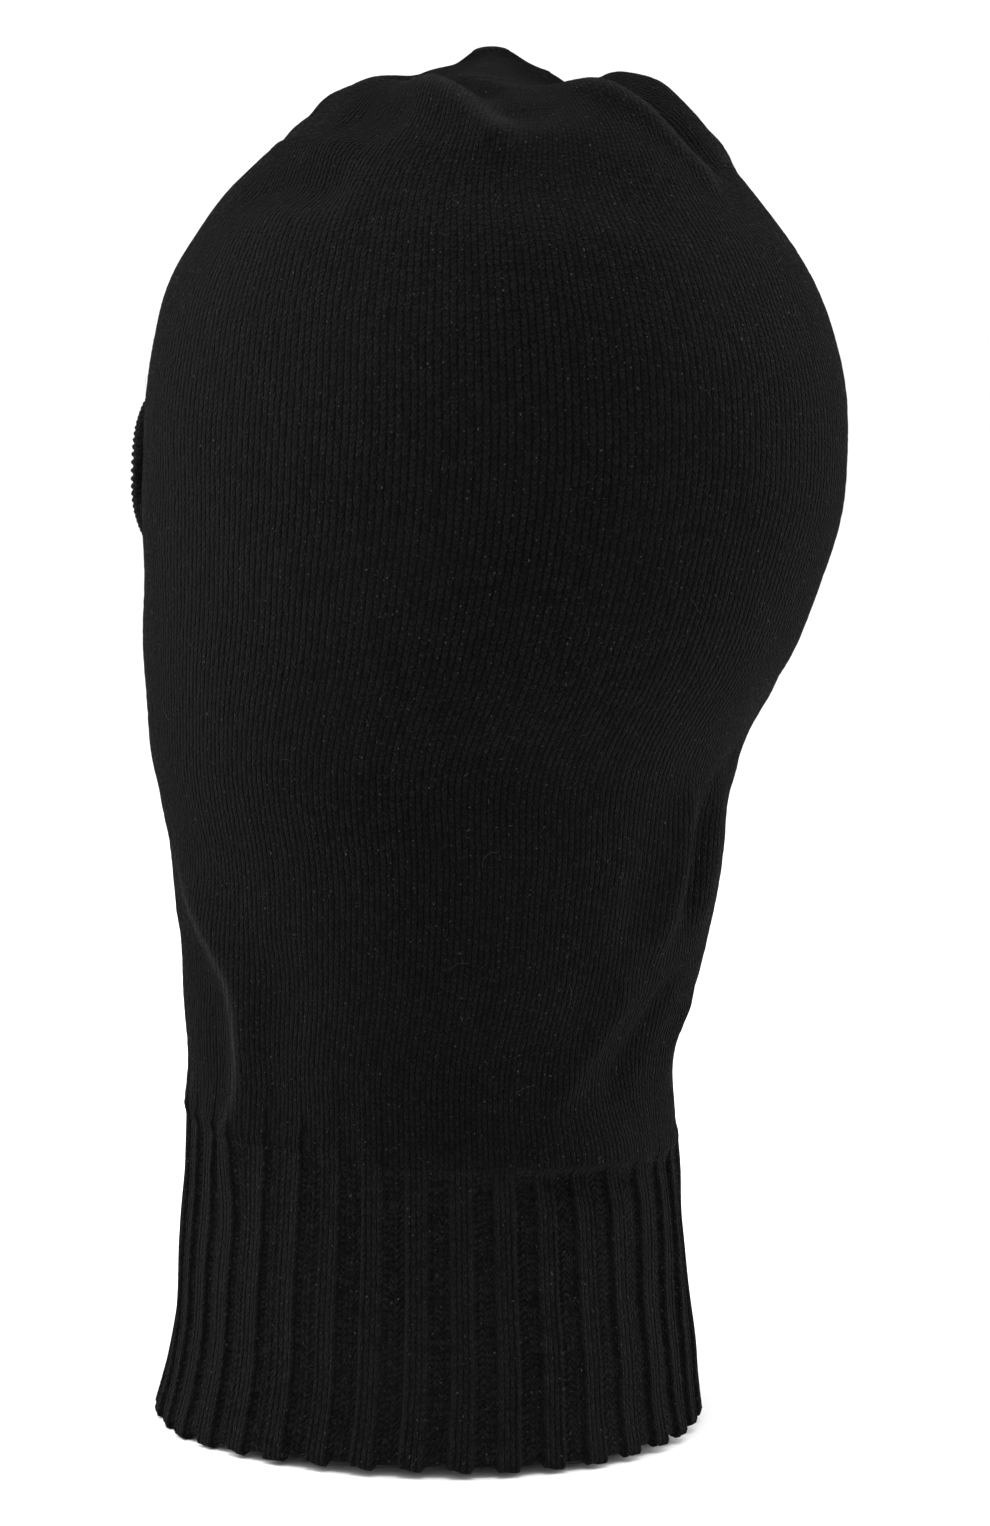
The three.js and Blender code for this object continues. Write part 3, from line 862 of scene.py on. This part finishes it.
def crown_gather():
    """The last loops, drawn together on their thread: a small blunt cap with pleats."""
    rings, around, pleats = 16, 96, 12
    turn, up = np.meshgrid(np.linspace(0, 2 * math.pi, around + 1), np.linspace(0, 1, rings + 1))
    profile_up = np.array([0, 0.15, 0.3, 0.5, 0.7, 0.85, 1])
    radius = np.interp(up, profile_up, [2.4, 3.4, 4.7, 4.4, 3.4, 2, 0.25])
    height = np.interp(up, profile_up, [-2.4, -1.4, -0.3, 0.15, 0.7, 1.05, 1.15])
    pleat = np.cos(pleats * turn + 0.6 * np.sin(2 * turn)) * np.clip(1.1 - up, 0.1, 1)
    radius = radius * (1 + 0.07 * pleat) + 0.15 * np.sin(3 * turn + 1)
    top, _, _, middle = girth(np.array(float(LAST_GIRTH)))

    def side(inset):
        points = np.stack([
            (radius - inset) * np.sin(turn),
            middle - (radius - inset) * np.cos(turn) * 1.05,
            top + height - inset * 0.8,
        ], axis=-1)
        uv = np.stack([turn * pleats / math.pi, up * 5], axis=-1)
        return Side(points, uv, np.zeros_like(turn))

    piece = shell("crown_gather_pleats", side(0), side(0.2), (1, 1), JERSEY, ring=True)
    return keep_as(piece, ["crown_gather"])


def eye_outline(count):
    """Angles evenly spaced along the eye opening's edge."""
    turn = np.linspace(0, 2 * math.pi, 4001)
    x, z = eye_edge(turn, TRIM_WIDTH / 2)
    run = np.concatenate([[0], np.cumsum(np.hypot(np.diff(x), np.diff(z)))])
    return np.interp(np.linspace(0, run[-1], count + 1), run, turn)


def eye_edge(turn, margin):
    return (EYE_HALF[0] + margin) * np.cos(turn), (EYE_HALF[1] + margin) * np.sin(turn)


def face_point(turn, margin, offset):
    """A point beside the eye opening, by the angle round it and the margin out from its edge."""
    x, z = eye_edge(turn, margin)
    step = step_at(EYE_HEIGHT + z)
    azimuth = np.arcsin(np.clip(x / girth(step)[1], -1, 1))
    return cloth(azimuth, step, offset)


TRIM_RIBS = 96


def eye_trim():
    """A folded one-by-one ribbed band, a closed ring whose section is a flat loop."""
    around, section = TRIM_RIBS * 6, 28
    turn = eye_outline(around)
    rib = np.cos(np.arange(around + 1) / 6 * 2 * math.pi)
    bend = np.linspace(0, 2 * math.pi, section + 1)
    half_width = TRIM_WIDTH / 2 + 0.1
    margin = half_width * (1 - np.sign(np.cos(bend)) * np.abs(np.cos(bend)) ** 0.75)
    swell = np.sign(np.sin(bend)) * np.abs(np.sin(bend)) ** 0.7
    offset = TRIM_PROUD - 0.3 - TRIM_WALL / 2 * (1 - swell)
    ridge = 0.34 * np.outer(np.abs(np.sin(bend)), np.sign(rib) * np.abs(rib) ** 0.6)
    groove = 0.5 * np.exp(-(((margin - (TRIM_WIDTH - 1.6)) / 0.6) ** 2)) * (swell > 0)
    lift = (offset - groove)[:, None] + ridge * np.sign(swell)[:, None]
    points = face_point(turn[None] + 0 * lift, margin[:, None] + 0 * lift, lift)
    wale = np.broadcast_to(np.arange(around + 1) / 3 + 0.5, lift.shape)
    run = np.broadcast_to((bend / (2 * math.pi) * 13)[:, None], lift.shape)
    purl = np.clip(0.5 - rib, 0, 1)[None] + 0 * lift
    return keep_as(torus("eye_trim_band", points, np.stack([wale, run], axis=-1), purl, TRIM),
                   ["eye_trim"])


def torus(name, points, uv, purl, material):
    """A closed ring from a grid whose last row and column repeat the first."""
    rows, columns = points.shape[:2]
    corners = grid_cells(rows, columns, 0, True).reshape(-1)
    ids = np.arange(rows * columns).reshape(rows, columns)
    ids[-1] = ids[0]
    ids[:, -1] = ids[:, 0]
    used, ids = np.unique(ids.ravel()[corners], return_inverse=True)
    sizes = np.full(len(corners) // 4, 4)
    return make_piece(name, points.reshape(-1, 3)[used], ids, sizes, uv.reshape(-1, 2)[corners],
                      purl.ravel()[used], np.ones(len(sizes), bool), material)


def plait(middle, aside, outward, width, depth, loops):
    """Three strands that cross as linked stitches do, along a line of points."""
    share = np.linspace(0, 1, len(middle))
    strands = []
    for k in range(3):
        turn = 2 * math.pi * (share * loops / 3 + k / 3)
        strands.append(middle + aside * (width / 2 * np.sin(turn))[:, None]
                       + outward * (depth / 2 * np.sin(2 * turn))[:, None])
    return strands


def seam_line(azimuth, low, high, wall, loops):
    """A plait along one azimuth inside the cloth, between two steps."""
    count = loops * 5
    step = step_along(np.linspace(arc_at(low), arc_at(high), count))
    inset = -wall(step) - SEAM_GAP - SEAM_DEPTH / 2
    middle = cloth(azimuth + 0 * step, step, inset)
    outward = plain_normal(azimuth + 0 * step, step)
    aside = np.broadcast_to([math.cos(azimuth), math.sin(azimuth), 0.0], middle.shape)
    return plait(middle, aside, outward, 1.9, 0.75, loops)


def linked(name, lines, radius, node):
    """A seam's strands of linking yarn."""
    return keep_as(tubes(name, lines, radius, YARN), [node])


def back_seam():
    rib_end = step_at(rib_top(math.pi))

    def wall(step):
        thick = RIB_WALL - RIB_PROUD + 0.5
        return thick + (JERSEY_WALL - thick) * smoothstep(step, rib_end + 0.1, rib_end + 0.4)

    lines = seam_line(math.pi, step_at(3), step_at(CROWN_BASE - 1), wall, 180)
    return linked("back_seam_linking", lines, YARN_RADIUS, "back_seam")


def crown_seam(index, side):
    low, high = step_at(CROWN_BASE + 1), LAST_GIRTH - 1.4
    lines = seam_line(index * math.pi / 2, low, high, lambda step: JERSEY_WALL + 0 * step, 48)
    return linked(f"crown_seam_{side}_linking", lines, YARN_RADIUS, f"crown_seam_{side}")


def eye_trim_seam():
    count = 660
    turn = eye_outline(count)[:-1]
    turn = np.concatenate([turn, turn[:1]])
    inset = TRIM_PROUD - TRIM_WALL - 0.3 - SEAM_DEPTH / 2
    middle = face_point(turn, TRIM_WIDTH - 2.5, inset + 0 * turn)
    outer = face_point(turn, TRIM_WIDTH - 1.5, inset + 0 * turn)
    aside = unit(outer - middle)
    outward = unit(np.cross(aside, np.gradient(middle, axis=0)))
    lines = plait(middle, aside, outward, 1.7, 0.7, 132)
    return linked("eye_trim_linking", lines, TRIM_YARN_RADIUS, "eye_trim_seam")


def label_lift(across):
    """How far inside the jersey the woven label lies: it passes over the back seam."""
    over_seam = 1 - smoothstep(np.abs(across), 2.5, 6)
    puff = 0.5 * np.cos(across / BRAND_LABEL[0] * math.pi * 2) ** 2 * (np.abs(across) < 23)
    return JERSEY_WALL + SEAM_GAP + (SEAM_DEPTH + 0.3) * over_seam + puff * (1 - over_seam)


def brand_label():
    """A damask label with its ends turned under, tacked across the back seam."""
    across, up = np.meshgrid(np.linspace(-0.5, 0.5, 101) * BRAND_LABEL[0], np.linspace(0, 1, 41))
    azimuth = math.pi - across / radius_at(step_at(BRAND_LABEL_LOW))
    step = step_at(BRAND_LABEL_LOW + up * BRAND_LABEL[1])
    turned_in = 0.3 * smoothstep(np.abs(across), 20.5, 21) * (1 - smoothstep(np.abs(across), 24.4, 25))
    lift = label_lift(across) + turned_in
    uv = np.stack([across, up * BRAND_LABEL[1]], axis=-1)
    outer = Side(cloth(azimuth, step, -lift - 0.45), uv, np.zeros_like(across))
    inner = Side(cloth(azimuth, step, -lift + turned_in), uv, np.zeros_like(across))
    piece = shell("brand_label_woven", outer, inner, (1, 1), WOVEN)
    keep_as(piece, ["brand_label"])
    return piece


def whip_stitches(start, finish, rise, count):
    """Small arched stitches from one line of points to another."""
    lines = []
    for k in range(count):
        share = (k + 0.5) / count
        a = start[0] + (start[1] - start[0]) * share
        b = finish[0] + (finish[1] - finish[0]) * (share + 0.25 / count)
        arch = np.sin(np.linspace(0, math.pi, 7))[:, None]
        lines.append(a + (b - a) * np.linspace(0, 1, 7)[:, None] + rise * arch)
    return lines


def brand_label_thread(side, name):
    radius = radius_at(step_at(BRAND_LABEL_LOW))
    ends = []
    for across in (BRAND_LABEL[0] / 2 + 0.6, BRAND_LABEL[0] / 2 - 2):
        azimuth = math.pi + side * across / radius
        step = step_at(np.array([BRAND_LABEL_LOW + 1.5, BRAND_LABEL_LOW + BRAND_LABEL[1] - 1.5]))
        depth = JERSEY_WALL + SEAM_GAP + 0.9 if across < BRAND_LABEL[0] / 2 else JERSEY_WALL + 0.2
        ends.append(cloth(azimuth + 0 * step, step, -depth))
    lines = whip_stitches(*ends, np.array([0, -0.45, 0]), 9)
    piece = tubes(f"brand_label_stitches_{name}", lines, BRAND_THREAD_RADIUS, SEWING)
    return keep_as(piece, [f"brand_label_thread_{name}"])


def care_label():
    """A satin tape folded in half, its two ends caught under the woven label, its fold hanging free."""
    low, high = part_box("care_label")
    top = np.array([0, high.y / MM - 0.2, high.z / MM - HEM])
    bottom = np.array([0, low.y / MM + 0.1, low.z / MM - HEM])
    width, length = CARE_LABEL
    across, along = np.meshgrid(np.linspace(-0.5, 0.5, 25), np.linspace(0, 1, 97))
    down = 1 - np.abs(2 * along - 1)
    layer = np.tanh((along - 0.5) * 60)
    curl = -2.2 * down**2.2 + 0.5 * np.sin(across * 5 + 1) * down - 1.3 * down
    curl -= CARE_LABEL_BOW * np.sin(math.pi * down)
    gap = 0.32 * layer * (1 + 1.2 * np.sin(math.pi * down))
    place = top + (bottom - top) * down[..., None]
    place[..., 0] = across * width * (1 - 0.01 * down)
    place[..., 1] += curl + gap
    uv = np.stack([across * width, along * 2 * length], axis=-1)
    normal = unit(np.cross(np.gradient(place, axis=0), np.gradient(place, axis=1)))
    sides = [Side(place + normal * thick, uv, np.zeros_like(across)) for thick in (0.1, -0.1)]
    piece = shell("care_label_satin", sides[1], sides[0], (1, 1), SATIN)
    keep_as(piece, ["care_label"], body=None)
    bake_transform(piece)
    return piece


def care_label_thread():
    low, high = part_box("care_label_thread")
    y, z = (low.y + high.y) / 2 / MM, (low.z + high.z) / 2 / MM - HEM
    lines = []
    for k in range(8):
        x = low.x / MM + (k + 0.15) * (high.x - low.x) / MM / 8
        share = np.linspace(0, 1, 7)
        arch = np.stack([x + 1.9 * share, y - 0.3 * np.sin(math.pi * share), z + 0 * share], axis=-1)
        lines.append(arch)
    piece = tubes("care_label_stitches", lines, CARE_THREAD_RADIUS, SEWING)
    return keep_as(piece, ["care_label_thread"])


def lint(count):
    """A few pale hairs caught on the wool, clear of the eye opening."""
    random = np.random.default_rng(7)
    lines = []
    for _ in range(count):
        azimuth, height = random.uniform(0.62, 2 * math.pi - 0.62), random.uniform(95, 335)
        run, turn = random.uniform(2.5, 7), random.uniform(0, 2 * math.pi)
        bend = random.uniform(-2.2, 2.2)
        angle = turn + bend * np.linspace(0, 1, 9)
        step_mm = run / 8
        right = np.cumsum(np.cos(angle)) * step_mm / radius_at(step_at(height))
        up = np.cumsum(np.sin(angle)) * step_mm
        off = 0.25 + 0.5 * np.sin(np.linspace(0, math.pi, 9)) * random.uniform(0.2, 1)
        lines.append(cloth(azimuth + right, step_at(height + up), off))
    piece = tubes("lint_hairs", lines, 0.03, LINT, sides=4)
    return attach(piece, "hood")


def build():
    neck_rib()
    jersey_hood()
    for index, side in enumerate(("front_left", "back_left", "back_right", "front_right")):
        crown_gore(index, side)
    for index, side in enumerate(("front", "left", "back", "right")):
        crown_seam(index, side)
    crown_gather()
    back_seam()
    eye_trim()
    eye_trim_seam()
    brand_label()
    brand_label_thread(-1, "left")
    brand_label_thread(1, "right")
    care_label()
    care_label_thread()
    lint(34)


# ---------------------------------------------------------------- the studio


def area_light(name, place, target, size, power):
    data = bpy.data.lights.new(name, "AREA")
    data.energy, data.size = power, size
    light = put(name, data)
    light.location = place
    light.rotation_euler = (Vector(target) - Vector(place)).to_track_quat("-Z", "Y").to_euler()


def studio():
    floor_mesh = bpy.data.meshes.new("floor")
    level, far = (HEM - HEM_DROP) * MM, 200.0
    corners = [(x * far, y * far, level) for x, y in ((-1, -1), (1, -1), (1, 1), (-1, 1))]
    floor_mesh.from_pydata(corners, [], [(0, 1, 2, 3)])
    floor_mesh.materials.append(floor_material("floor"))
    put("floor", floor_mesh)
    world = bpy.data.worlds.new("studio")
    world.use_nodes = True
    feed(world.node_tree, world.node_tree.nodes["Background"], {"Color": (1, 1, 1, 1), "Strength": 1.08})
    bpy.context.scene.world = world
    bpy.context.scene.view_settings.view_transform = "Standard"


VIEW_AZIMUTH = math.radians(125)
TO_RIGHT = Vector((math.cos(VIEW_AZIMUTH), math.sin(VIEW_AZIMUTH), 0))
TO_CAMERA = Vector((math.sin(VIEW_AZIMUTH), -math.cos(VIEW_AZIMUTH), 0))


def camera():
    target = TO_RIGHT * 0.0013 + Vector((0, 0, -0.083))
    place = target + TO_CAMERA * 1.2 + Vector((0, 0, 0.115))
    data = bpy.data.cameras.new("camera")
    data.lens = 107.2
    data.sensor_width = 36
    eye = put("camera", data)
    eye.location = place
    eye.rotation_euler = (target - place).to_track_quat("-Z", "Y").to_euler()
    bpy.context.scene.camera = eye
    middle = (0, 0, -0.05)
    left = TO_CAMERA * -0.4 - TO_RIGHT * 1.5 + Vector((0, 0, 0.8))
    right = TO_CAMERA * -0.3 + TO_RIGHT * 1.5 + Vector((0, 0, 0.5))
    top = TO_CAMERA * 0.4 + Vector((0, 0, 1.7))
    area_light("left", left, middle, 1.0, 19)
    area_light("right", right, middle, 1.0, 13)
    area_light("top", top, middle, 1.0, 26)


build()
studio()
camera()
